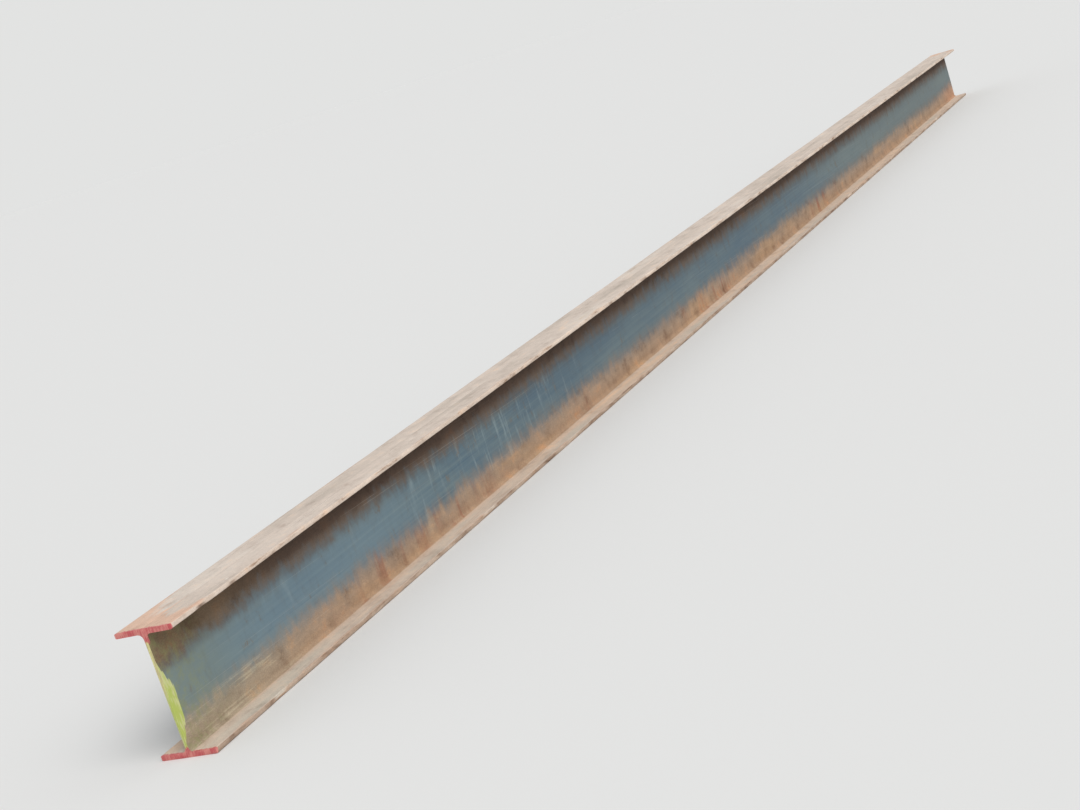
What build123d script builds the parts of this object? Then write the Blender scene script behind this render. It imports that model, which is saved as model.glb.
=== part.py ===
from build123d import *
import os

# One length of hot rolled steel i-beam with parallel flanges, in millimetres.
# X runs along the beam, Y across its flanges and Z up, and the beam stands on its bottom flange.
# The origin is on the underside, half way along the beam and under the middle of the web.

# Sizes of the rolled section
section_depth = 200.0  # underside of the bottom flange to the top of the top flange
flange_width = 100.0
web_thickness = 5.5
flange_thickness = 8.0
root_radius = 8.0  # rolled curve where the web runs into each flange
toe_radius = 1.5  # worn rounding along both edges of each flange

# The stock length, from sawn end to sawn end
stock_length = 6000.0

# The web stands between the flanges
web_height = section_depth - 2 * flange_thickness
flange_middle = (section_depth - flange_thickness) / 2  # each flange's own middle, from half depth
near_end = Plane.YZ.offset(-stock_length / 2)  # the sawn face that the rolled section starts from


with BuildPart() as i_beam:
    # the section is drawn on the near end, about the point at half depth
    with BuildSketch(near_end) as section:
        with Locations((0, section_depth / 2)):
            Rectangle(web_thickness, web_height)
            with Locations((0, -flange_middle), (0, flange_middle)):
                Rectangle(flange_width, flange_thickness)
        # from left to right the corners are toes, roots, roots and toes
        corner_groups = section.vertices().group_by(Axis.X)
        fillet(corner_groups[1] + corner_groups[2], radius=root_radius)
        toe_corners = section.vertices().group_by(Axis.X)
        fillet(toe_corners[0] + toe_corners[-1], radius=toe_radius)
    # one straight run of that section, with nothing cut in it
    extrude(amount=stock_length)

i_beam.part.label = "i_beam"

os.makedirs("parts", exist_ok=True)
export_step(i_beam.part, "parts/i_beam.step")

# What a buyer would check against a table of sections
section_area = section.sketch.area
print("section area", round(section_area, 1), "mm2, length", stock_length, "mm")
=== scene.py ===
import math

import bpy
import numpy as np
from mathutils import Matrix, Vector


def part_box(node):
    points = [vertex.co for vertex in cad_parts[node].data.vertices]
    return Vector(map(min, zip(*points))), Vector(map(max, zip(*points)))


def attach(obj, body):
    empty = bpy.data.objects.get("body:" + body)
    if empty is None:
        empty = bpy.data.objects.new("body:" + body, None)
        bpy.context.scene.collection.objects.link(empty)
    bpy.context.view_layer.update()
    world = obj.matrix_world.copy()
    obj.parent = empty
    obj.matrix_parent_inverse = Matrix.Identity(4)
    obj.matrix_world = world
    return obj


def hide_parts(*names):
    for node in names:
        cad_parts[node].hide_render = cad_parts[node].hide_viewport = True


# One length of rolled i-beam on a pale floor: blue-grey mill scale along the web, rust round it, and
# painted sawn ends.
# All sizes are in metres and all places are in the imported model's own frame.

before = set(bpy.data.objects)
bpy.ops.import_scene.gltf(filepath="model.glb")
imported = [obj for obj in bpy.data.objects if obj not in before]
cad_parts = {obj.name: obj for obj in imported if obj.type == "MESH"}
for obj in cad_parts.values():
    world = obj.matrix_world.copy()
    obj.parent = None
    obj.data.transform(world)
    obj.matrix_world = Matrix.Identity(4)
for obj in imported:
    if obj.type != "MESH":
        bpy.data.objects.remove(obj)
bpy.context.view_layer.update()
beamLow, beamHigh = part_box("i_beam")
halfLength = (beamHigh.x - beamLow.x) / 2
halfWidth = (beamHigh.y - beamLow.y) / 2
depth = beamHigh.z - beamLow.z
print("stage 1: packed frame loaded, beam", round(2 * halfLength, 3), "m long")

# Camera, floor and light

shot = dict(
    place=(-5.00, -1.712, 0.814),
    forward=(0.8772, 0.4420, -0.1875),
    up=(0.2998, -0.1992, 0.9330),
    lens=62.5,
    seenFrom=0.05,  # nearest and furthest that the camera sees, in metres
    seenTo=300,
)


def makeCamera(cfg):
    forward, up = Vector(cfg["forward"]).normalized(), Vector(cfg["up"]).normalized()
    right = forward.cross(up).normalized()
    turned = Matrix((right, right.cross(forward), -forward)).transposed()
    data = bpy.data.cameras.new("shot")
    data.lens, data.clip_start, data.clip_end = cfg["lens"], cfg["seenFrom"], cfg["seenTo"]
    camera = bpy.data.objects.new("shot", data)
    camera.matrix_world = Matrix.Translation(cfg["place"]) @ turned.to_4x4()
    bpy.context.scene.collection.objects.link(camera)
    bpy.context.scene.camera = camera
    bpy.context.scene.view_settings.view_transform = "Standard"


makeCamera(shot)

studio = dict(
    floorSize=240.0,
    floorColour=(0.80, 0.80, 0.79, 1),
    floorRoughness=0.9,
    floorGloss=0.1,
    seenColour=(0.763, 0.767, 0.760, 1),  # behind the floor, as the lit floor looks
    skyLight=(0.94, 0.97, 1.0, 1),
    skyStrength=0.55,
    # name, where it shines from, strength, width in degrees, colour
    lamps=(
        ("softLamp", (-0.40, -0.62, 0.74), 2.0, 50, (1, 0.97, 0.94)),
    ),
)


def makeStudio(cfg):
    half = cfg["floorSize"] / 2
    mesh = bpy.data.meshes.new("floor")
    ring = [(-half, -half, 0), (half, -half, 0), (half, half, 0), (-half, half, 0)]
    mesh.from_pydata(ring, [], [(0, 1, 2, 3)])
    floor = bpy.data.objects.new("floor", mesh)
    bpy.context.scene.collection.objects.link(floor)
    material = bpy.data.materials.new("paleFloor")
    material.use_nodes = True
    shader = material.node_tree.nodes["Principled BSDF"]
    shader.inputs["Base Color"].default_value = cfg["floorColour"]
    shader.inputs["Roughness"].default_value = cfg["floorRoughness"]
    shader.inputs["Specular IOR Level"].default_value = cfg["floorGloss"]
    mesh.materials.append(material)
    world = bpy.data.worlds.new("softSky")
    bpy.context.scene.world = world
    world.use_nodes = True
    tree = world.node_tree
    tree.nodes.clear()
    light = tree.nodes.new("ShaderNodeBackground")
    light.inputs["Color"].default_value = cfg["skyLight"]
    light.inputs["Strength"].default_value = cfg["skyStrength"]
    seen = tree.nodes.new("ShaderNodeBackground")
    seen.inputs["Color"].default_value = cfg["seenColour"]
    path = tree.nodes.new("ShaderNodeLightPath")
    either = tree.nodes.new("ShaderNodeMixShader")
    out = tree.nodes.new("ShaderNodeOutputWorld")
    tree.links.new(path.outputs["Is Camera Ray"], either.inputs[0])
    tree.links.new(light.outputs[0], either.inputs[1])
    tree.links.new(seen.outputs[0], either.inputs[2])
    tree.links.new(either.outputs[0], out.inputs[0])
    for name, source, strength, wide, colour in cfg["lamps"]:
        lamp = bpy.data.lights.new(name, "SUN")
        lamp.energy, lamp.angle, lamp.color = strength, math.radians(wide), colour
        holder = bpy.data.objects.new(name, lamp)
        holder.rotation_euler = (-Vector(source)).to_track_quat("-Z", "Y").to_euler()
        bpy.context.scene.collection.objects.link(holder)


makeStudio(studio)
print("stage 2: camera, floor and lamps")

# The beam's skin: the rolled outline carried along the beam, closed at both ends by the sawn faces

rolled = dict(
    webThickness=0.0055,
    flangeThickness=0.008,
    rootRadius=0.008,
    toeRadius=0.0015,
    rootSteps=3,
    toeSteps=2,
    flatSteps=5,
    webSteps=12,
    hold=0.0016,  # a column this close to each curve keeps the flats flat
    fineStep=0.003,  # station spacing at the sawn ends
    coarseStep=0.0110,  # and along the middle
    fineReach=0.30,
    growReach=0.60,
    bevel=0.00045,  # worn edge round each sawn face
    burr=0.0006,  # how unevenly that edge stands
    burrPoints=4.0,  # outline points to each rise of it
    burrSeed=19,
    webWave=0.0005,  # how far the web waves, then how long and how high each wave is
    webWaveSize=(0.8, 0.09),
    webWaveSeed=16,
    flangeDroop=0.0006,
    droopLength=1.4,
    droopSeed=17,
    scab=0.00022,  # scabs and grain: how deep, then how long, how many round the outline, and the seed
    scabSize=(0.07, 14, 11),
    scabZones=(0.9, 5, 12),
    grain=0.00010,
    grainSize=(0.017, 52, 13),
    nicks=46,  # on each of the four toes
    nickDepth=0.0011,
    nickWidths=(0.006, 0.022),
    nickReach=0.003,
    nickSeed=14,
    weldDigits=7,  # points that agree to so many decimals of a metre are one
    rowsOnMap=3,
    mapGap=0.006,
    capStrip=0.13,
    capFill=(0.94, 0.88),  # the share of its place on the map that a sawn face takes
    endShare=1.6,  # how much closer the map looks at the ends
    endReach=0.35,
    rowNudge=1e-9,  # stops a rounding error from putting a station in the row before its own
)


def noiseGrid(u, v, seed, around=0):
    # a random number at every whole (u, v), joined by the curve 3t^2 - 2t^3; v closes on itself after
    # as many cells as around says
    u, v = np.broadcast_arrays(u, v)
    u = u - u.min()
    lattice = np.random.default_rng(seed).random((int(u.max()) + 3, around or int(v.max()) + 3))
    iu, iv = u.astype(int), np.floor(v).astype(int)
    fu, fv = u - iu, v - iv
    fu, fv = fu * fu * (3 - 2 * fu), fv * fv * (3 - 2 * fv)
    wide = lattice.shape[1]
    near = lattice[iu, iv % wide] * (1 - fu) + lattice[iu + 1, iv % wide] * fu
    far = lattice[iu, (iv + 1) % wide] * (1 - fu) + lattice[iu + 1, (iv + 1) % wide] * fu
    return near * (1 - fv) + far * fv


def flangeHalf(cfg):
    # columns from the web's face out to the toe, and the heights of the outer and inner face at each
    root, toe = cfg["rootRadius"], cfg["toeRadius"]
    rootTurn = np.linspace(0, math.pi / 2, cfg["rootSteps"] + 1)
    toeTurn = np.linspace(0, math.pi / 2, cfg["toeSteps"] + 1)[1:]
    rootY = cfg["webThickness"] / 2 + root * (1 - np.cos(rootTurn))
    stop = halfWidth - toe
    flatY = np.linspace(rootY[-1] + cfg["hold"], stop - cfg["hold"], cfg["flatSteps"])
    y = np.concatenate([rootY, flatY, [stop], stop + toe * np.sin(toeTurn)])
    drop, rise = np.zeros(len(y)), np.zeros(len(y))
    drop[-len(toeTurn):] = toe * (1 - np.cos(toeTurn))
    rise[:len(rootTurn)] = root * (1 - np.sin(rootTurn))
    return y, drop, cfg["flangeThickness"] + rise - drop


def sectionLine(cfg):
    # the closed outline, from the middle of the underside by +y up to the top and back down by -y
    y, outer, inner = flangeHalf(cfg)
    toeSide = np.array([(outer[-1] + inner[-1]) / 2])
    web = np.linspace(inner[0] + cfg["hold"], depth - inner[0] - cfg["hold"], cfg["webSteps"])
    rise = [[0], outer, toeSide, inner[::-1], web]
    fall = [depth - inner, depth - toeSide, depth - outer[::-1], [depth]]
    reach = [[0], y, [y[-1]], y[::-1], np.full(len(web), y[0]), y, [y[-1]], y[::-1], [0]]
    rightY, rightZ = np.concatenate(reach), np.concatenate(rise + fall)
    allY = np.concatenate([rightY, -rightY[-2:0:-1]])
    allZ = np.concatenate([rightZ, rightZ[-2:0:-1]])
    return np.stack([allY, allZ], 1), len(y), len(web)


def stationLine(cfg):
    # spacing grows from fineStep at the ends to coarseStep, then all of it is scaled to reach from
    # bevel to bevel
    steps, at = [cfg["bevel"]], 0.0
    while at < halfLength:
        share = min(max((at - cfg["fineReach"]) / cfg["growReach"], 0), 1)
        steps.append(cfg["fineStep"] + (cfg["coarseStep"] - cfg["fineStep"]) * share)
        at += steps[-1]
    half = np.concatenate([[0], np.cumsum(steps)])
    half *= (halfLength - cfg["bevel"]) / half[-1]
    inset = halfLength - cfg["bevel"]
    return np.concatenate([half - inset, (inset - half)[-2::-1]])


def skinGrid(cfg):
    # each point is its outline point sunk by scab, grain and nicks, then moved by the web's wave and
    # the flange's droop
    line, columns, rows = sectionLine(cfg)
    x = stationLine(cfg)
    ahead, behind = np.roll(line, -1, 0), np.roll(line, 1, 0)
    around = np.concatenate([[0], np.cumsum(np.linalg.norm(ahead - line, axis=1))])
    s, girth = around[:-1], around[-1]
    tangent = (ahead - behind) / np.linalg.norm(ahead - behind, axis=1)[:, None]
    outward = np.stack([tangent[:, 1], -tangent[:, 0]], 1)
    xs, turn = x[:, None], s[None, :] / girth
    lumps, zones, specks = (
        noiseGrid(xs / size, turn * count, seed, count)
        for size, count, seed in (cfg["scabSize"], cfg["scabZones"], cfg["grainSize"])
    )
    sink = cfg["scab"] * lumps * zones + cfg["grain"] * specks
    toe = np.clip((np.abs(line[:, 0]) - halfWidth) / cfg["nickReach"] + 1, 0, 1) ** 2
    corner = (line[:, 0] > 0) * 2 + (line[:, 1] > depth / 2)
    rng = np.random.default_rng(cfg["nickSeed"])
    for which in range(4):
        place = rng.uniform(-halfLength, halfLength, cfg["nicks"])
        wide = rng.uniform(*cfg["nickWidths"], cfg["nicks"])
        deep = cfg["nickDepth"] * rng.random(cfg["nicks"]) ** 2
        dent = (deep * np.exp(-(((xs - place) / wide) ** 2))).sum(1)
        sink = sink + dent[:, None] * (toe * (corner == which))
    y, z = line[:, 0] - outward[:, 0] * sink, line[:, 1] - outward[:, 1] * sink
    inWeb = np.clip(1 - (np.abs(line[:, 0]) - cfg["webThickness"] / 2) / cfg["rootRadius"], 0, 1)
    waveLong, waveHigh = cfg["webWaveSize"]
    bow = noiseGrid(xs / waveLong, line[None, :, 1] / waveHigh, cfg["webWaveSeed"]) - 0.5
    y = y + 2 * cfg["webWave"] * bow * inWeb * np.sin(math.pi * line[:, 1] / depth)
    sag = noiseGrid(xs / cfg["droopLength"], corner[None, :], cfg["droopSeed"])
    sag = cfg["flangeDroop"] * (line[:, 0] / halfWidth) ** 2 * sag
    z = z + np.where(line[:, 1] > depth / 2, -sag, sag)
    return np.stack([np.broadcast_to(xs, y.shape), y, z], 2), outward, turn[0], columns, rows


def endRing(last, outward, cfg, end):
    # the sawn face's rim: the last station set in by the bevel and standing out unevenly
    rim = last.copy()
    rim[:, 1:] -= outward * cfg["bevel"]
    teeth = np.arange(len(rim)) / cfg["burrPoints"]
    uneven = noiseGrid(teeth, np.zeros(len(rim)), cfg["burrSeed"] + end)
    rim[:, 0] = end * (halfLength - cfg["burr"] * uneven)
    return rim


def capPatches(ring, n, rows):
    # each flange's face blends from its outer line to its inner one, and the web's from its left line
    # to its right one
    full = len(ring)
    half = full // 2  # the middle of the top; the left side's copy of point k is full - k
    outer = np.concatenate([full - np.arange(n, 0, -1), [0], np.arange(1, n + 1)])
    innerRight = np.arange(2 * n + 1, n + 1, -1)
    innerLeft = full - innerRight
    blend = np.linspace(0, 1, 3)[None, :, None]
    patches = []
    for top in (False, True):
        at = (lambda k: (half - k) % full) if top else (lambda k: k)
        middle = (ring[at(innerLeft[0])] + ring[at(innerRight[0])]) / 2
        inner = np.concatenate([ring[at(innerLeft[::-1])], middle[None], ring[at(innerRight)]])
        patch = ring[at(outer)][:, None] * (1 - blend) + inner[:, None] * blend
        patch[0, 1], patch[-1, 1] = ring[at(full - n - 1)], ring[at(n + 1)]
        patches.append(patch[:, ::-1] if top else patch)
    right = np.arange(2 * n + 1, 2 * n + rows + 3)
    patch = ring[full - right][:, None] * (1 - blend) + ring[right][:, None] * blend
    patches.append(patch.transpose(1, 0, 2))
    return patches


def gridFaces(wide, high, start=0, closed=False):
    # corner numbers of every cell of a wide x high grid; closed joins the last column to the first
    i, j = np.meshgrid(np.arange(wide - 1), np.arange(high if closed else high - 1), indexing="ij")
    up = (j + 1) % high
    cells = np.stack([i * high + j, (i + 1) * high + j, (i + 1) * high + up, i * high + up], -1)
    return start + cells.reshape(-1, 4)


def flankMap(x, turn, cfg):
    # the length is laid out in rows one above another, each as high as the unrolled outline, and drawn
    # larger at the ends
    gap = halfLength - np.abs(x)
    close = 1 + (cfg["endShare"] - 1) * np.clip(1 - gap / cfg["endReach"], 0, 1)
    along = np.concatenate([[0], np.cumsum((close[1:] + close[:-1]) / 2 * np.diff(x))])
    along /= along[-1]
    count, edge = cfg["rowsOnMap"], cfg["mapGap"]
    row = np.minimum((along[:-1] + cfg["rowNudge"]) * count, count - 1).astype(int)
    first = np.array([along[:-1][row == k].min() for k in range(count)])
    last = np.array([along[1:][row == k].max() for k in range(count)])
    u = np.stack([along[:-1], along[1:]], 1)
    u = edge + (1 - 2 * edge) * (u - first[row][:, None]) / (last - first)[row][:, None]
    tall = (1 - cfg["capStrip"]) / count
    v = np.append(turn, 1.0)
    v = np.stack([v[:-1], v[1:]], 1)
    low = row[:, None, None] * tall + edge + (tall - 2 * edge) * v[None]
    u0, u1 = (np.broadcast_to(u[:, k, None], low.shape[:2]) for k in (0, 1))
    corners = [(u0, low[:, :, 0]), (u0, low[:, :, 1]), (u1, low[:, :, 1]), (u1, low[:, :, 0])]
    return np.stack([np.stack(pair, -1) for pair in corners], 2).reshape(-1, 4, 2)


def buildSkin(cfg):
    grid, outward, turn, columns, rows = skinGrid(cfg)
    rims = {end: endRing(grid[0 if end < 0 else -1], outward, cfg, end) for end in (-1, 1)}
    tube = np.concatenate([rims[-1][None], grid, rims[1][None]])
    along, across = tube.shape[:2]
    places = [tube.reshape(-1, 3)]
    faces = [gridFaces(along, across, 0, True)[:, [0, 3, 2, 1]]]
    uv = [flankMap(tube[:, :, 0].mean(1), turn, cfg)]
    bevelled = np.zeros((along - 1, across), bool)
    bevelled[[0, -1]] = True
    kind = [bevelled.ravel().astype(int)]  # 1 where the material is the sawn end's
    start = along * across
    for end, rim in rims.items():
        for patch in capPatches(rim, columns, rows):
            wide, high = patch.shape[:2]
            order = [0, 1, 2, 3] if end > 0 else [0, 3, 2, 1]
            cells = gridFaces(wide, high, start)[:, order]
            places.append(patch.reshape(-1, 3))
            faces.append(cells)
            flat = patch.reshape(-1, 3)[cells - start]
            # each face lies on its side in its half of the strip along the map's top
            fillLong, fillHigh = cfg["capFill"]
            u = 0.5 + 0.25 * end + (0.5 * flat[:, :, 2] / depth - 0.25) * fillLong
            v = 1 - cfg["capStrip"] / 2 + flat[:, :, 1] / halfWidth * cfg["capStrip"] / 2 * fillHigh
            uv.append(np.stack([u, v], -1))
            kind.append(np.full(len(cells), 2))
            start += wide * high
    places, faces = np.concatenate(places), np.concatenate(faces)
    uv, kind = np.concatenate(uv), np.concatenate(kind)
    places = np.round(places, cfg["weldDigits"])
    welded, where = np.unique(places, axis=0, return_inverse=True)
    faces = where.reshape(-1)[faces]
    mesh = bpy.data.meshes.new("beamSkin")
    mesh.vertices.add(len(welded))
    mesh.vertices.foreach_set("co", welded.ravel())
    mesh.loops.add(faces.size)
    mesh.loops.foreach_set("vertex_index", faces.ravel())
    mesh.polygons.add(len(faces))
    mesh.polygons.foreach_set("loop_start", np.arange(0, faces.size, 4))
    mesh.polygons.foreach_set("use_smooth", kind != 1)
    mesh.polygons.foreach_set("material_index", np.minimum(kind, 1))
    layer = mesh.uv_layers.new(name="OFBake")
    layer.uv.foreach_set("vector", uv.reshape(-1, 2).ravel())
    mesh.validate()
    mesh.update()
    skin = bpy.data.objects.new("beamSkin", mesh)
    bpy.context.scene.collection.objects.link(skin)
    print("beam skin:", len(welded), "points,", 2 * len(faces), "triangles, outline of", across, "points")
    return skin


beamSkin = buildSkin(rolled)
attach(beamSkin, "root")
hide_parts("i_beam")
print("stage 3: beam skin")

# Finishes, as node trees that read object coordinates

patterns = dict(
    # repeats per metre along, across and up the beam, then seed, detail and roughness
    mottle=((22, 30, 26), 1, 8, 0.70),
    grain=((560, 620, 620), 2, 3, 0.75),
    rolling=((1.6, 85, 85), 3, 4, 0.60),
    bloom=((46, 60, 26), 4, 6, 0.68),
    scaleCloud=((2.4, 9, 10), 5, 4, 0.60),
    scaleLines=((1.1, 240, 240), 6, 2, 0.50),
    scratchLines=((0.6, 900, 900), 8, 0, 0.50),
    scratchPatches=((5.0, 90, 90), 9, 2, 0.60),
    bristles=((420, 700, 55), 10, 3, 0.55),
    brushPress=((80, 60, 40), 11, 4, 0.60),
    wander=((1.0, 30, 3), 20, 4, 0.55),
    fingers=((42, 30, 3), 21, 4, 0.60),
    redZones=((13, 30, 3), 46, 5, 0.62),
    threads=((170, 30, 5), 22, 3, 0.55),
    fingerPlaces=((1.5, 30, 1), 23, 2, 0.50),
    drips=((58, 30, 9), 24, 4, 0.62),
    hairs=((8, 60, 170), 25, 3, 0.55),
    overspray=((60, 60, 50), 26, 6, 0.75),
    dripPlaces=((2.2, 30, 2), 45, 3, 0.60),
    ochre=((3.2, 20, 14), 27, 4, 0.60),
    topPatches=((1.7, 11, 10), 30, 5, 0.60),
    topStripes=((0.6, 120, 20), 31, 4, 0.62),
    topSmears=((5, 26, 20), 32, 5, 0.62),
    waver=((14, 60, 40), 33, 4, 0.60),
    ledgeDrift=((2.6, 22, 10), 34, 4, 0.60),
    shadeDrift=((3.0, 30, 20), 35, 5, 0.60),
    underDrift=((2.2, 20, 20), 36, 5, 0.60),
    toeDrift=((16, 90, 90), 37, 5, 0.65),
    rimDrift=((7, 30, 30), 38, 4, 0.60),
    scuffs=((75, 105, 60), 39, 3, 0.60),
    scuffPlaces=((4, 16, 10), 40, 3, 0.60),
    redDrag=((55, 150, 30), 41, 4, 0.65),
    limeDrag=((190, 30, 12), 42, 3, 0.60),
    sawMarks=((30, 18, 850), 50, 3, 0.60),
    sawnSteel=((60, 90, 90), 51, 4, 0.60),
    sawnEdge=((60, 200, 60), 52, 3, 0.60),
)
seedShift = np.array([3.1, 1.7, 2.3])  # how far each seed moves its pattern
backShift = 17.3  # how far along the beam the back's patterns lie from the front's
bumpHeight = 0.001  # what a height of 1 stands for, in metres


def tone(red, green, blue):
    # a colour written as it looks, from 0 to 255, turned by the sRGB curve into light
    seen = np.array([red, green, blue]) / 255
    light = np.where(seen <= 0.04045, seen / 12.92, ((seen + 0.055) / 1.055) ** 2.4)
    return (*light.tolist(), 1.0)


def addNode(tree, kind, feeds=None, **settings):
    made = tree.nodes.new("ShaderNode" + kind)
    for name, value in settings.items():
        setattr(made, name, value)
    for name, value in (feeds or {}).items():
        if isinstance(value, bpy.types.NodeSocket):
            tree.links.new(value, made.inputs[name])
        else:
            made.inputs[name].default_value = value
    return made


def calc(tree, operation, *values):
    return addNode(tree, "Math", dict(enumerate(values)), operation=operation).outputs[0]


def product(tree, *values):
    found = values[0]
    for value in values[1:]:
        found = calc(tree, "MULTIPLY", found, value)
    return found


def rest(tree, value):
    return calc(tree, "SUBTRACT", 1.0, value)


def swing(tree, value, size, middle=0.0):
    # a cloud's value, which lies round a half, as a push of up to about size either way
    return calc(tree, "MULTIPLY_ADD", calc(tree, "SUBTRACT", value, 0.5), 2 * size, middle)


def eased(tree, value, span):
    # 0 at the span's first value and 1 at its second, whichever is the larger
    feeds = {"Value": value, "From Min": span[0], "From Max": span[1]}
    return addNode(tree, "MapRange", feeds, interpolation_type="SMOOTHSTEP").outputs[0]


def between(tree, value, rise, fall):
    return product(tree, eased(tree, value, rise), eased(tree, value, fall))


def atLeast(tree, value, least):
    # 1 where the value is 1, and no less than the least where it is 0
    return calc(tree, "MULTIPLY_ADD", value, 1 - least, least)


def laidOver(tree, amount, under, over):
    return addNode(tree, "Mix", {0: amount, 6: under, 7: over}, data_type="RGBA").outputs[2]


def scaled(tree, colour, factor):
    return addNode(tree, "VectorMath", {0: colour, "Scale": factor}, operation="SCALE").outputs[0]


def multiplied(tree, colour, by):
    return addNode(tree, "VectorMath", {0: colour, 1: by}, operation="MULTIPLY").outputs[0]


def ramp(tree, value, stops):
    made = addNode(tree, "ValToRGB", {"Fac": value})
    band = made.color_ramp.elements
    (band[0].position, band[0].color), (band[1].position, band[1].color) = stops[0], stops[-1]
    for at, colour in stops[1:-1]:
        band.new(at).color = colour
    return made.outputs["Color"]


def cloud(tree, pattern, name):
    perMetre, seed, detail, rough = patterns[name]
    feeds = {"Vector": pattern, "Location": (seed * seedShift).tolist(), "Scale": perMetre}
    moved = addNode(tree, "Mapping", feeds).outputs[0]
    feeds = {"Vector": moved, "Scale": 1.0, "Detail": detail, "Roughness": rough}
    return addNode(tree, "TexNoise", feeds).outputs["Fac"]


def newGroup(name, inputs, outputs):
    tree = bpy.data.node_groups.new(name, "ShaderNodeTree")
    for label, kind in inputs:
        tree.interface.new_socket(label, in_out="INPUT", socket_type="NodeSocket" + kind)
    for label, kind in outputs:
        tree.interface.new_socket(label, in_out="OUTPUT", socket_type="NodeSocket" + kind)
    return tree, tree.nodes.new("NodeGroupInput").outputs, tree.nodes.new("NodeGroupOutput").inputs


def useGroup(tree, group, **feeds):
    return addNode(tree, "Group", feeds, node_tree=group).outputs


def makePlaces():
    # where a point is on the beam; the back gets another stretch of every pattern than the front
    outputs = [("Pattern", "Vector"), ("Reach", "Float"), ("Height", "Float")]
    outputs += [("End Gap", "Float"), ("Near Gap", "Float"), ("Front", "Float")]
    tree, _, gone = newGroup("placesOnBeam", [], outputs)
    at = addNode(tree, "TexCoord").outputs["Object"]
    split = addNode(tree, "SeparateXYZ", {0: at}).outputs
    front = calc(tree, "LESS_THAN", split["Y"], 0.0)
    shift = calc(tree, "MULTIPLY", rest(tree, front), backShift)
    away = addNode(tree, "CombineXYZ", {"X": shift}).outputs[0]
    made = {
        "Pattern": addNode(tree, "VectorMath", {0: at, 1: away}, operation="ADD").outputs[0],
        "Reach": calc(tree, "ABSOLUTE", split["Y"]),
        "Height": split["Z"],
        "End Gap": calc(tree, "SUBTRACT", halfLength, calc(tree, "ABSOLUTE", split["X"])),
        "Near Gap": calc(tree, "ADD", split["X"], halfLength),
        "Front": front,
    }
    for label, socket in made.items():
        tree.links.new(socket, gone[label])
    return tree


rustLook = dict(
    # how much lighter and darker each pattern makes the rust
    mottle=0.55,
    grain=0.55,
    rolling=0.18,
    crust=(0.66, 0.52, 0.44),  # dark crusts and orange powder, as shares of the rust's own colour
    crustAt=(0.46, 0.28),
    crustShare=0.55,
    powder=(1.10, 0.88, 0.68),
    powderAt=(0.54, 0.70),
    powderShare=0.6,
    mottleHeight=0.40,
    grainHeight=0.16,
)


def makeRustGrain(look):
    # blotches of many sizes, lines along the rolling and a fine grain over any rust colour
    inputs = [("Pattern", "Vector"), ("Color", "Color"), ("Strength", "Float")]
    tree, came, gone = newGroup("rustGrain", inputs, [("Color", "Color"), ("Height", "Float")])
    pattern, strength = came["Pattern"], came["Strength"]
    mottle, grain = cloud(tree, pattern, "mottle"), cloud(tree, pattern, "grain")
    light = swing(tree, mottle, look["mottle"], 1.0)
    light = product(tree, light, swing(tree, grain, look["grain"], 1.0))
    light = product(tree, light, swing(tree, cloud(tree, pattern, "rolling"), look["rolling"], 1.0))
    lit = scaled(tree, came["Color"], light)
    crust, powder = multiplied(tree, lit, look["crust"]), multiplied(tree, lit, look["powder"])
    crusted = calc(tree, "MULTIPLY", eased(tree, mottle, look["crustAt"]), look["crustShare"])
    powdered = calc(tree, "MULTIPLY", eased(tree, mottle, look["powderAt"]), look["powderShare"])
    lit = laidOver(tree, powdered, laidOver(tree, crusted, lit, crust), powder)
    tree.links.new(laidOver(tree, strength, came["Color"], lit), gone["Color"])
    fine = calc(tree, "MULTIPLY", grain, look["grainHeight"])
    rough = calc(tree, "MULTIPLY_ADD", mottle, look["mottleHeight"], fine)
    tree.links.new(product(tree, rough, strength), gone["Height"])
    return tree


scaleLook = dict(
    stops=[(0.30, tone(75, 102, 121)), (0.50, tone(90, 113, 125)), (0.70, tone(106, 125, 130))],
    lines=0.20,  # how far the lines move the colour, and how much they lighten and darken it
    lineShade=0.10,
)


def makeMillScale(look):
    # the smooth blue-grey skin left by rolling, with faint lines along the beam and cloudy patches
    tree, came, gone = newGroup("millScale", [("Pattern", "Vector")], [("Color", "Color")])
    lines = cloud(tree, came["Pattern"], "scaleLines")
    value = swing(tree, lines, look["lines"], cloud(tree, came["Pattern"], "scaleCloud"))
    shade = swing(tree, lines, look["lineShade"], 1.0)
    tree.links.new(scaled(tree, ramp(tree, value, look["stops"]), shade), gone["Color"])
    return tree


scratchLook = dict(peaks=(0.72, 0.80), fade=(0.0, 0.10))


def makeScratches(look):
    # peaks of a cloud drawn out far along the beam: its second axis is y + z + slant * x, so one run
    # of lines serves the level faces and the upright ones, and a second cloud keeps only parts of them
    inputs = [("Pattern", "Vector"), ("Slant", "Float"), ("Kept", "Float")]
    tree, came, gone = newGroup("longScratches", inputs, [("Mask", "Float")])
    place = addNode(tree, "SeparateXYZ", {0: came["Pattern"]}).outputs
    across = calc(tree, "MULTIPLY_ADD", place[0], came["Slant"], calc(tree, "ADD", place[1], place[2]))
    turned = addNode(tree, "CombineXYZ", {0: place[0], 1: across}).outputs[0]
    peaks = eased(tree, cloud(tree, turned, "scratchLines"), look["peaks"])
    kept = calc(tree, "SUBTRACT", cloud(tree, turned, "scratchPatches"), came["Kept"])
    tree.links.new(product(tree, peaks, eased(tree, kept, look["fade"])), gone["Mask"])
    return tree


brushLook = dict(
    bristles=0.45,  # the bristles' share of the load of paint, and the pressure's
    press=0.55,
    fullAt=(0.42, 0.58),
    shortBy=0.62,  # how much load is missing where the amount is 0
    edge=(0.17, 0.27),
    loadHeight=0.25,
    filmHeight=0.10,
)


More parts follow.
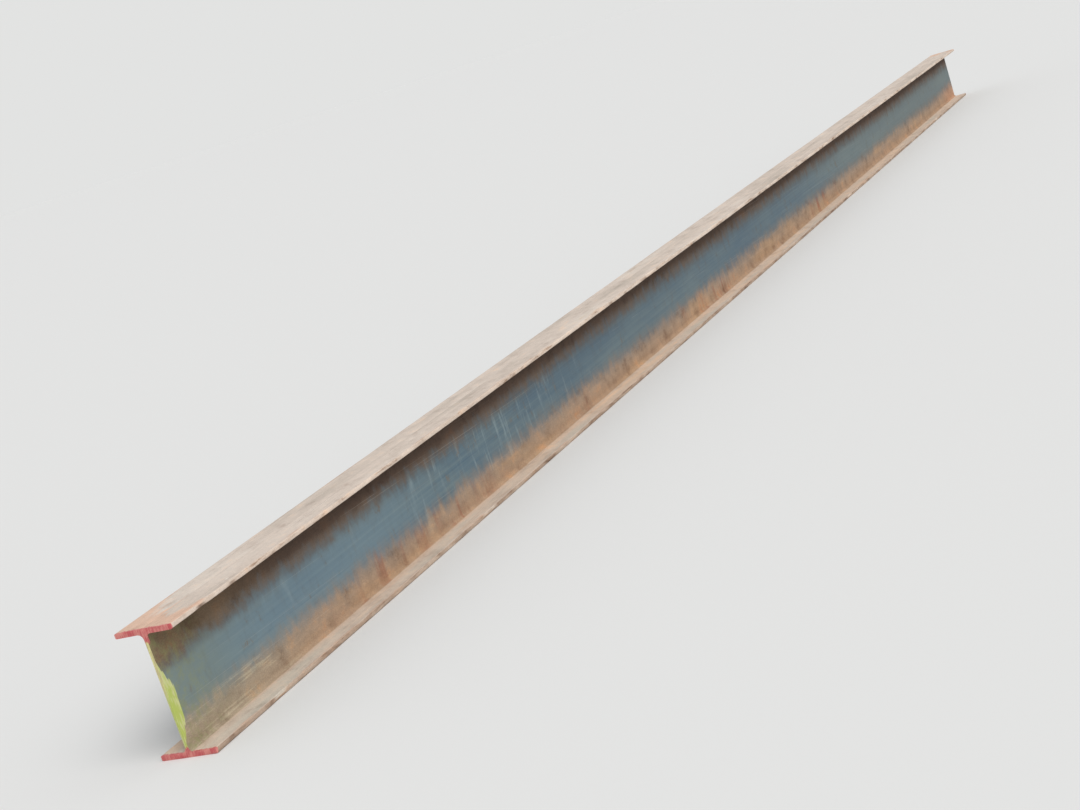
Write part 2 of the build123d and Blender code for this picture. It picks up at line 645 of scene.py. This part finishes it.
def makePaint(look):
    # brushed paint: full where the brush pressed, thin and streaked elsewhere, with bare gaps
    inputs = [("Pattern", "Vector"), ("Amount", "Float"), ("Full", "Color"), ("Thin", "Color")]
    outputs = [("Color", "Color"), ("Mask", "Float"), ("Height", "Float")]
    tree, came, gone = newGroup("brushedPaint", inputs, outputs)
    bristles, press = cloud(tree, came["Pattern"], "bristles"), cloud(tree, came["Pattern"], "brushPress")
    pressed = calc(tree, "MULTIPLY", press, look["press"])
    load = calc(tree, "MULTIPLY_ADD", bristles, look["bristles"], pressed)
    full = eased(tree, load, look["fullAt"])
    tree.links.new(laidOver(tree, full, came["Thin"], came["Full"]), gone["Color"])
    short = calc(tree, "MULTIPLY", rest(tree, came["Amount"]), look["shortBy"])
    mask = eased(tree, calc(tree, "SUBTRACT", load, short), look["edge"])
    tree.links.new(mask, gone["Mask"])
    film = calc(tree, "MULTIPLY_ADD", load, look["loadHeight"], look["filmHeight"])
    tree.links.new(product(tree, mask, film), gone["Height"])
    return tree


places, longScratches = makePlaces(), makeScratches(scratchLook)
rustGrain, millScale = makeRustGrain(rustLook), makeMillScale(scaleLook)
brushedPaint = makePaint(brushLook)

redPaint = dict(Full=tone(192, 88, 91), Thin=tone(214, 138, 129))
limePaint = dict(Full=tone(176, 189, 94), Thin=tone(198, 200, 142))
creamPaint = dict(Full=tone(220, 214, 150), Thin=tone(190, 178, 132))

webLook = dict(
    # foot and head are where the flat between the two root curves begins and ends; other heights are
    # shares of that flat, and places are metres from the front end
    foot=0.016,
    head=0.184,
    # the rust up the web, darker towards the top: partly rust, partly painted shade under the top flange
    rustAndShadeStops=[
        (0.00, tone(168, 140, 115)), (0.12, tone(160, 138, 118)), (0.24, tone(141, 127, 115)),
        (0.38, tone(122, 118, 110)), (0.64, tone(120, 110, 100)), (0.77, tone(112, 97, 85)),
        (0.86, tone(91, 73, 61)), (0.95, tone(84, 67, 56)), (1.00, tone(98, 78, 64)),
    ],
    bandFoot=(0.13, 0.41),
    bandHead=(0.87, 0.66),
    low=(0.42, 0.16),
    # how far each pattern pushes the colours up and down
    wander=0.075,
    threads=0.014,
    fingers=0.030,
    clusteredFingers=0.10,
    clustersAt=(0.50, 0.62),
    raggedStop=(2.0, 1.3),
    raggedLeast=0.35,
    fingersFade=(0.60, 0.30),
    fingersLeast=0.25,
    bloom=0.20,
    endLift=0.06,
    endFade=9.0,
    farLift=-0.06,
    farLiftAt=(5.6, 5.95),
    # the rust's other colours: where each comes in, and its share at most
    redder=tone(150, 98, 72),
    redRise=(0.42, 0.52),
    redFall=(1.25, 0.95),
    redPlaceShare=0.8,
    redByFinger=0.4,
    redByZone=0.6,
    redAt=(0.48, 0.60),
    redShare=0.75,
    ochre=tone(178, 146, 114),
    ochreAt=(0.50, 0.66),
    ochreShare=0.6,
    olive=tone(158, 146, 126),
    oliveFade=(0.45, 0.10),
    oliveShare=0.75,
    orange=tone(192, 142, 112),
    orangeRise=(5.70, 5.92),
    orangeLow=(0.55, 0.30),
    orangeShare=0.5,
    brown=tone(128, 108, 84),
    brownFade=(0.40, 0.04),
    brownHigh=(0.66, 0.84),
    brownShare=0.75,
    # the mill scale's other colours and the gaps in it, and painted shade: dark brown laid over the
    # scale's top, under the top flange
    farGrey=tone(106, 115, 111),
    farGreyRise=(2.6, 5.2),
    farGreyShare=0.65,
    nearPale=tone(124, 146, 156),
    nearPaleFade=(0.95, 0.60),
    nearPaleShare=0.40,
    midDark=tone(74, 92, 104),
    midDarkRise=(0.9, 1.6),
    midDarkFall=(4.2, 3.0),
    midDarkShare=0.35,
    nearGreen=tone(118, 130, 122),
    nearGreenFade=(0.26, 0.03),
    nearGreenShare=0.7,
    # painted shade under the top flange: its colour, where it rises, its share and how the bloom breaks
    # it
    paintedShade=tone(82, 76, 70),
    paintedShadeHigh=(0.58, 0.80),
    paintedShadeShare=0.65,
    paintedShadeBloom=0.5,
    breaksAt=(0.62, 0.70),
    breaksShare=0.7,
    # pale upright drips, and pale level hairs in the rust at the foot
    drip=tone(150, 166, 168),
    dripSwing=1.6,
    dripMiddle=0.50,
    dripRise=(0.16, 0.30),
    dripFall=(2.2, 1.1),
    dripAt=(0.53, 0.74),
    dripLow=(0.60, 0.40),
    dripShare=0.35,
    hair=tone(196, 184, 158),
    hairFade=(0.42, 0.20),
    hairLow=(0.34, 0.26),
    hairAt=(0.54, 0.66),
    hairShare=0.5,
)


def pushedHeight(tree, at, look, share, finger, clustered):
    # the height with the wandering, the threads and fingers, and the lifts near the ends added to it
    pattern, nearGap = at["Pattern"], at["Near Gap"]
    push = swing(tree, cloud(tree, pattern, "wander"), look["wander"])
    push = swing(tree, cloud(tree, pattern, "threads"), look["threads"], push)
    ragged = atLeast(tree, eased(tree, nearGap, look["raggedStop"]), look["raggedLeast"])
    ragged = product(tree, clustered, ragged)
    reach = calc(tree, "MULTIPLY_ADD", ragged, 2 * look["clusteredFingers"], 2 * look["fingers"])
    lower = atLeast(tree, eased(tree, share, look["fingersFade"]), look["fingersLeast"])
    reach = calc(tree, "MULTIPLY", reach, lower)
    push = calc(tree, "MULTIPLY_ADD", calc(tree, "SUBTRACT", finger, 0.5), reach, push)
    endward = calc(tree, "EXPONENT", calc(tree, "MULTIPLY", at["End Gap"], -look["endFade"]))
    moved = calc(tree, "MULTIPLY_ADD", endward, look["endLift"], calc(tree, "ADD", share, push))
    farward = eased(tree, nearGap, look["farLiftAt"])
    return calc(tree, "MULTIPLY_ADD", farward, look["farLift"], moved)


def webRust(tree, at, look, share, moved, finger, clustered):
    # the rust's colour by its height, its top partly painted shade; then redder, ochre, olive, orange and
    # brown parts laid over it
    pattern, nearGap = at["Pattern"], at["Near Gap"]
    low = eased(tree, moved, look["low"])
    zones = calc(tree, "MULTIPLY", cloud(tree, pattern, "redZones"), look["redByZone"])
    red = calc(tree, "MULTIPLY_ADD", finger, look["redByFinger"], zones)
    ochre = eased(tree, cloud(tree, pattern, "ochre"), look["ochreAt"])
    orange = eased(tree, nearGap, look["orangeRise"])
    brown = eased(tree, nearGap, look["brownFade"])
    layers = (
        ("redder", eased(tree, red, look["redAt"]), product(tree, low, clustered), "redShare"),
        ("ochre", ochre, low, "ochreShare"),
        ("olive", eased(tree, nearGap, look["oliveFade"]), low, "oliveShare"),
        ("orange", orange, eased(tree, moved, look["orangeLow"]), "orangeShare"),
        ("brown", brown, eased(tree, share, look["brownHigh"]), "brownShare"),
    )
    rust = ramp(tree, moved, look["rustAndShadeStops"])
    for colour, first, second, most in layers:
        rust = laidOver(tree, product(tree, first, second, look[most]), rust, look[colour])
    return rust


def webScale(tree, at, look):
    # the mill scale, paler and greener towards the front end, darker in the middle and greyer far off
    nearGap = at["Near Gap"]
    layers = (
        ("farGrey", eased(tree, nearGap, look["farGreyRise"])),
        ("nearPale", eased(tree, nearGap, look["nearPaleFade"])),
        ("midDark", between(tree, nearGap, look["midDarkRise"], look["midDarkFall"])),
        ("nearGreen", eased(tree, nearGap, look["nearGreenFade"])),
    )
    scale = useGroup(tree, millScale, Pattern=at["Pattern"])["Color"]
    for colour, amount in layers:
        amount = calc(tree, "MULTIPLY", amount, look[colour + "Share"])
        scale = laidOver(tree, amount, scale, look[colour])
    return scale


def webFinish(tree, at, look):
    # the height up the web, pushed by the patterns, picks rust or scale and their colours
    pattern, nearGap = at["Pattern"], at["Near Gap"]
    up = calc(tree, "SUBTRACT", at["Height"], look["foot"])
    share = calc(tree, "DIVIDE", up, look["head"] - look["foot"])
    finger, bloom = cloud(tree, pattern, "fingers"), cloud(tree, pattern, "bloom")
    redPlace = between(tree, nearGap, look["redRise"], look["redFall"])
    redPlace = calc(tree, "MULTIPLY", redPlace, look["redPlaceShare"])
    clustered = eased(tree, cloud(tree, pattern, "fingerPlaces"), look["clustersAt"])
    clustered = calc(tree, "MAXIMUM", clustered, redPlace)
    moved = pushedHeight(tree, at, look, share, finger, clustered)
    rust, scale = webRust(tree, at, look, share, moved, finger, clustered), webScale(tree, at, look)

    dripHere = swing(tree, cloud(tree, pattern, "dripPlaces"), look["dripSwing"], look["dripMiddle"])
    dripHere = product(tree, dripHere, between(tree, nearGap, look["dripRise"], look["dripFall"]))
    drip = product(tree, eased(tree, cloud(tree, pattern, "drips"), look["dripAt"]), dripHere)
    # painted shade: dark brown laid over the top of the scale, where the top flange shades the web
    paintedShade = calc(tree, "MULTIPLY", eased(tree, share, look["paintedShadeHigh"]), look["paintedShadeShare"])
    paintedShade = swing(tree, bloom, look["paintedShadeBloom"], paintedShade)
    scale = laidOver(tree, paintedShade, laidOver(tree, drip, scale, look["drip"]), look["paintedShade"])
    onRust = product(tree, drip, eased(tree, share, look["dripLow"]), look["dripShare"])
    rust = laidOver(tree, onRust, rust, look["hair"])
    hairHere = product(tree, eased(tree, nearGap, look["hairFade"]), eased(tree, share, look["hairLow"]))
    hair = eased(tree, cloud(tree, pattern, "hairs"), look["hairAt"])
    rust = laidOver(tree, product(tree, hair, hairHere, look["hairShare"]), rust, look["hair"])

    band = between(tree, swing(tree, bloom, look["bloom"], moved), look["bandFoot"], look["bandHead"])
    breaks = calc(tree, "MULTIPLY", eased(tree, bloom, look["breaksAt"]), look["breaksShare"])
    smooth = between(tree, share, look["bandFoot"], look["bandHead"])
    return rust, scale, product(tree, band, rest(tree, breaks)), smooth


flangeLook = dict(
    ledgeStops=[
        (0.00, tone(156, 130, 108)), (0.14, tone(200, 178, 158)), (0.32, tone(214, 196, 178)),
        (0.70, tone(216, 200, 184)), (1.00, tone(200, 186, 172)),
    ],
    ledgeTints=[(0.34, tone(203, 196, 182)), (0.50, tone(215, 197, 180)), (0.66, tone(226, 196, 168))],
    tintsOut=(0.15, 0.40),
    tintsShare=0.7,
    topStops=[
        (0.24, tone(188, 176, 163)), (0.40, tone(205, 191, 178)), (0.54, tone(215, 200, 187)),
        (0.68, tone(218, 206, 194)), (0.84, tone(218, 188, 156)),
    ],
    topStripes=0.18,
    topSmears=0.20,
    shadeStops=[(0.32, tone(112, 90, 74)), (0.52, tone(140, 114, 94)), (0.70, tone(136, 130, 122))],
    underStops=[
        (0.32, tone(124, 102, 86)), (0.50, tone(162, 138, 118)),
        (0.62, tone(150, 146, 138)), (0.75, tone(122, 130, 132)),
    ],
    toeStops=[(0.28, tone(146, 116, 94)), (0.42, tone(205, 186, 170)), (0.64, tone(224, 208, 194))],
    # the bottom flange's toes, darker than the top ones: partly rust, partly painted shade
    shadedLowToeStops=[(0.30, tone(116, 90, 72)), (0.46, tone(164, 140, 121)), (0.66, tone(190, 170, 152))],
    endOrange=tone(224, 172, 138),  # on the top flange, by the sawn ends
    endOrangeSmears=-0.30,
    endOrangeAt=(0.08, 0.02),
    endOrangeShare=0.55,
    rim=tone(190, 140, 104),  # a rusty line here and there along the toes
    rimGaps=(0.007, 0.001),
    rimAt=(0.48, 0.66),
    rimShare=0.45,
    # where the faces meet, in metres up the beam or in from a face, and how far those lines waver
    upperHalf=(0.090, 0.110),
    outerGaps=(0.0045, 0.0025),
    toeGaps=(0.0011, 0.0004),
    rootReach=(0.0060, 0.0105),
    ledgeWaver=0.05,
    rimWaver=0.004,
    rootWaver=0.0015,
)


def gapsFrom(edge, gaps):
    # the span that begins and ends these gaps below an edge
    return edge - gaps[0], edge - gaps[1]


def flangeFinish(tree, at, look):
    # four faces: the outer ones lie at the very top and bottom, the inner ones between them, and
    # the toes at full reach
    pattern, reach, height = at["Pattern"], at["Reach"], at["Height"]
    waver, smears = cloud(tree, pattern, "waver"), cloud(tree, pattern, "topSmears")
    upper = eased(tree, height, look["upperHalf"])
    outer = eased(tree, height, look["outerGaps"])
    outer = calc(tree, "MAXIMUM", outer, eased(tree, height, gapsFrom(depth, look["outerGaps"])))
    side = eased(tree, reach, gapsFrom(halfWidth, look["toeGaps"]))

    out = swing(tree, waver, look["ledgeWaver"], calc(tree, "DIVIDE", reach, halfWidth))
    tints = ramp(tree, cloud(tree, pattern, "ledgeDrift"), look["ledgeTints"])
    tinted = calc(tree, "MULTIPLY", eased(tree, out, look["tintsOut"]), look["tintsShare"])
    ledge = laidOver(tree, tinted, ramp(tree, out, look["ledgeStops"]), tints)
    shaded = ramp(tree, cloud(tree, pattern, "shadeDrift"), look["shadeStops"])
    under = ramp(tree, cloud(tree, pattern, "underDrift"), look["underStops"])

    drift = swing(tree, cloud(tree, pattern, "topStripes"), look["topStripes"])
    drift = swing(tree, smears, look["topSmears"], drift)
    top = ramp(tree, calc(tree, "ADD", drift, cloud(tree, pattern, "topPatches")), look["topStops"])
    glow = swing(tree, smears, look["endOrangeSmears"], at["End Gap"])
    glow = calc(tree, "MULTIPLY", eased(tree, glow, look["endOrangeAt"]), look["endOrangeShare"])
    top = laidOver(tree, glow, top, look["endOrange"])

    worn = cloud(tree, pattern, "toeDrift")
    # the bottom toes are darker than the top ones, partly as painted shade
    shadedLowToes, highToes = ramp(tree, worn, look["shadedLowToeStops"]), ramp(tree, worn, look["toeStops"])
    toes = laidOver(tree, upper, shadedLowToes, highToes)
    inner, outside = laidOver(tree, upper, ledge, shaded), laidOver(tree, upper, under, top)
    faces = laidOver(tree, outer, inner, outside)
    rim = eased(tree, swing(tree, waver, look["rimWaver"], reach), gapsFrom(halfWidth, look["rimGaps"]))
    rimHere = eased(tree, cloud(tree, pattern, "rimDrift"), look["rimAt"])
    rim = product(tree, rim, rimHere, look["rimShare"])
    faces = laidOver(tree, side, laidOver(tree, rim, faces, look["rim"]), toes)
    isFlange = eased(tree, swing(tree, waver, look["rootWaver"], reach), look["rootReach"])
    return faces, calc(tree, "MAXIMUM", isFlange, outer), product(tree, outer, upper)


wearLook = dict(
    # long scratches, stronger on the flanges than on the web
    webShare=0.15,
    flangeShare=0.50,
    kept=0.50,
    scratches=((tone(228, 218, 204), 0.03), (tone(120, 98, 84), -0.05)),  # colour and slant
    scuff=tone(236, 230, 220),
    scuffPlaces=0.12,
    scuffsByEnd=(0.9, 0.1),
    moreByEnd=0.03,
    scuffAt=(0.76, 0.79),
    scuffShare=0.8,
)


def wearAndTear(tree, at, look, colour, onFlange, onTop):
    # long scratches and pale scuffs, most of them on the flanges
    pattern = at["Pattern"]
    more = look["flangeShare"] - look["webShare"]
    share = calc(tree, "MULTIPLY_ADD", onFlange, more, look["webShare"])
    for shade, slant in look["scratches"]:
        mask = useGroup(tree, longScratches, Pattern=pattern, Slant=slant, Kept=look["kept"])["Mask"]
        colour = laidOver(tree, product(tree, mask, share), colour, shade)
    scuffs = cloud(tree, pattern, "scuffs")
    here = swing(tree, cloud(tree, pattern, "scuffPlaces"), look["scuffPlaces"], scuffs)
    byEnd = product(tree, onTop, eased(tree, at["End Gap"], look["scuffsByEnd"]))
    here = calc(tree, "MULTIPLY_ADD", byEnd, look["moreByEnd"], here)
    scuffed = calc(tree, "MULTIPLY", eased(tree, here, look["scuffAt"]), look["scuffShare"])
    return laidOver(tree, scuffed, colour, look["scuff"])


overrunLook = dict(
    # paint past the sawn faces, in metres
    frontHalf=(3.2, 2.8),
    redRun=0.016,
    redStart=-0.0070,
    redMoreInFront=0.0035,
    redEdge=(0.0015, -0.001),
    redHigh=(0.168, 0.184),
    leafFoot=(0.014, 0.060),
    leafHead=(0.160, 0.095),
    leafRun=0.024,
    leafStart=0.006,
    leafEdge=(0.002, -0.003),
    overspray=tone(134, 138, 92),
    oversprayFade=(0.16, 0.01),
    oversprayAt=(0.42, 0.66),
    oversprayShare=0.6,
)


def sprayedDust(tree, at, look, onFlange, frontEnd):
    # how much overspray lies on the front of the web, by the front end
    sprayed = eased(tree, at["End Gap"], look["oversprayFade"])
    sprayed = product(tree, sprayed, rest(tree, onFlange), frontEnd, look["oversprayShare"])
    dots = eased(tree, cloud(tree, at["Pattern"], "overspray"), look["oversprayAt"])
    return product(tree, sprayed, dots)


def paintOverruns(tree, at, look, colour, onFlange, nearEnd, frontEnd):
    # red dragged over the flanges' edges, and a leaf of lime down the front of the web
    pattern, height, gap = at["Pattern"], at["Height"], at["End Gap"]
    run = calc(tree, "MULTIPLY_ADD", cloud(tree, pattern, "redDrag"), look["redRun"], look["redStart"])
    run = calc(tree, "MULTIPLY_ADD", nearEnd, look["redMoreInFront"], run)
    isRed = eased(tree, calc(tree, "SUBTRACT", gap, run), look["redEdge"])
    isRed = product(tree, calc(tree, "MAXIMUM", onFlange, eased(tree, height, look["redHigh"])), isRed)
    leaf = product(tree, between(tree, height, look["leafFoot"], look["leafHead"]), frontEnd)
    drag = cloud(tree, pattern, "limeDrag")
    drag = calc(tree, "MULTIPLY_ADD", drag, look["leafRun"], look["leafStart"])
    inside = calc(tree, "SUBTRACT", gap, product(tree, leaf, drag))
    isLime = product(tree, eased(tree, inside, look["leafEdge"]), rest(tree, onFlange))
    masks = []
    for paint, amount in ((redPaint, isRed), (limePaint, isLime)):
        brushed = useGroup(tree, brushedPaint, Pattern=pattern, Amount=amount, **paint)
        masks.append(product(tree, brushed["Mask"], amount))
        colour = laidOver(tree, masks[-1], colour, brushed["Color"])
    return colour, calc(tree, "MAXIMUM", *masks)


flankLook = dict(
    webGrain=0.95,  # strength of the rust's grain
    flangeGrain=0.60,
    rustRoughness=0.88,
    scaleRoughness=0.56,
    paintRoughness=0.50,
    scaleRelief=0.15,  # how much of the rust's relief is left on the band of scale
    bump=0.9,
    gloss=0.35,
)


def newMaterial(name):
    material = bpy.data.materials.new(name)
    material.use_nodes = True
    return material, material.node_tree, material.node_tree.nodes["Principled BSDF"]


def makeFlank(look, web, flange, wear, overrun):
    # rust and mill scale on the web, rust on the flanges, then sprayed dust, wear and paint over both
    material, tree, shader = newMaterial("rolledFlank")
    at = useGroup(tree, places)
    nearEnd = eased(tree, at["Near Gap"], overrun["frontHalf"])
    frontEnd = product(tree, nearEnd, at["Front"])
    webRusty, scale, band, smooth = webFinish(tree, at, web)
    faces, onFlange, onTop = flangeFinish(tree, at, flange)
    offFlange = rest(tree, onFlange)
    band = product(tree, band, offFlange)
    calmer = look["flangeGrain"] - look["webGrain"]
    grainy = calc(tree, "MULTIPLY_ADD", onFlange, calmer, look["webGrain"])
    rusty = laidOver(tree, onFlange, webRusty, faces)
    rusty = useGroup(tree, rustGrain, Pattern=at["Pattern"], Color=rusty, Strength=grainy)
    colour = laidOver(tree, band, rusty["Color"], scale)
    sprayed = sprayedDust(tree, at, overrun, onFlange, frontEnd)
    colour = laidOver(tree, sprayed, colour, overrun["overspray"])
    colour = wearAndTear(tree, at, wear, colour, onFlange, onTop)
    colour, painted = paintOverruns(tree, at, overrun, colour, onFlange, nearEnd, frontEnd)
    tree.links.new(colour, shader.inputs["Base Color"])

    smoother = look["scaleRoughness"] - look["rustRoughness"]
    rough = calc(tree, "MULTIPLY_ADD", band, smoother, look["rustRoughness"])
    wet = calc(tree, "SUBTRACT", look["paintRoughness"], rough)
    tree.links.new(calc(tree, "MULTIPLY_ADD", painted, wet, rough), shader.inputs["Roughness"])
    level = product(tree, smooth, offFlange)
    relief = calc(tree, "MULTIPLY_ADD", level, look["scaleRelief"] - 1, 1.0)
    relief = product(tree, rusty["Height"], relief)
    feeds = {"Height": relief, "Distance": bumpHeight, "Strength": look["bump"]}
    tree.links.new(addNode(tree, "Bump", feeds).outputs[0], shader.inputs["Normal"])
    shader.inputs["Specular IOR Level"].default_value = look["gloss"]
    return material


sawnLook = dict(
    steelStops=[(0.34, tone(98, 74, 58)), (0.52, tone(138, 104, 80)), (0.70, tone(150, 140, 128))],
    grain=0.8,
    # heights where the colours of paint meet, in metres, and how far those lines waver
    webFoot=(0.0135, 0.0165),
    webHead=(0.1815, 0.1765),
    webWaver=0.005,
    limeFade=(0.125, 0.085),
    limeWaver=0.02,
    amount=0.95,
    steelRoughness=0.85,
    paintRoughness=0.50,
    sawHeight=0.20,
    bump=0.8,
    gloss=0.35,
)


def makeSawn(look):
    # the sawn faces: saw-marked steel under brushed red on the flanges and cream to lime down the web
    material, tree, shader = newMaterial("sawnEnd")
    at = useGroup(tree, places)
    pattern, height = at["Pattern"], at["Height"]
    steel = ramp(tree, cloud(tree, pattern, "sawnSteel"), look["steelStops"])
    steel = useGroup(tree, rustGrain, Pattern=pattern, Color=steel, Strength=look["grain"])
    edge = cloud(tree, pattern, "sawnEdge")
    onWeb = between(tree, swing(tree, edge, look["webWaver"], height), look["webFoot"], look["webHead"])
    lower = eased(tree, swing(tree, edge, look["limeWaver"], height), look["limeFade"])
    mixed = {}
    for kind in ("Full", "Thin"):
        webPaint = laidOver(tree, lower, creamPaint[kind], limePaint[kind])
        mixed[kind] = laidOver(tree, onWeb, redPaint[kind], webPaint)
    paint = useGroup(tree, brushedPaint, Pattern=pattern, Amount=look["amount"], **mixed)
    colour = laidOver(tree, paint["Mask"], steel["Color"], paint["Color"])
    tree.links.new(colour, shader.inputs["Base Color"])
    smoother = look["paintRoughness"] - look["steelRoughness"]
    rough = calc(tree, "MULTIPLY_ADD", paint["Mask"], smoother, look["steelRoughness"])
    tree.links.new(rough, shader.inputs["Roughness"])
    marks = cloud(tree, pattern, "sawMarks")
    relief = calc(tree, "MULTIPLY_ADD", marks, look["sawHeight"], paint["Height"])
    feeds = {"Height": relief, "Distance": bumpHeight, "Strength": look["bump"]}
    tree.links.new(addNode(tree, "Bump", feeds).outputs[0], shader.inputs["Normal"])
    shader.inputs["Specular IOR Level"].default_value = look["gloss"]
    return material


flank = makeFlank(flankLook, webLook, flangeLook, wearLook, overrunLook)
beamSkin.data.materials.append(flank)
beamSkin.data.materials.append(makeSawn(sawnLook))
print("stage 4: finishes")

print("last stage")
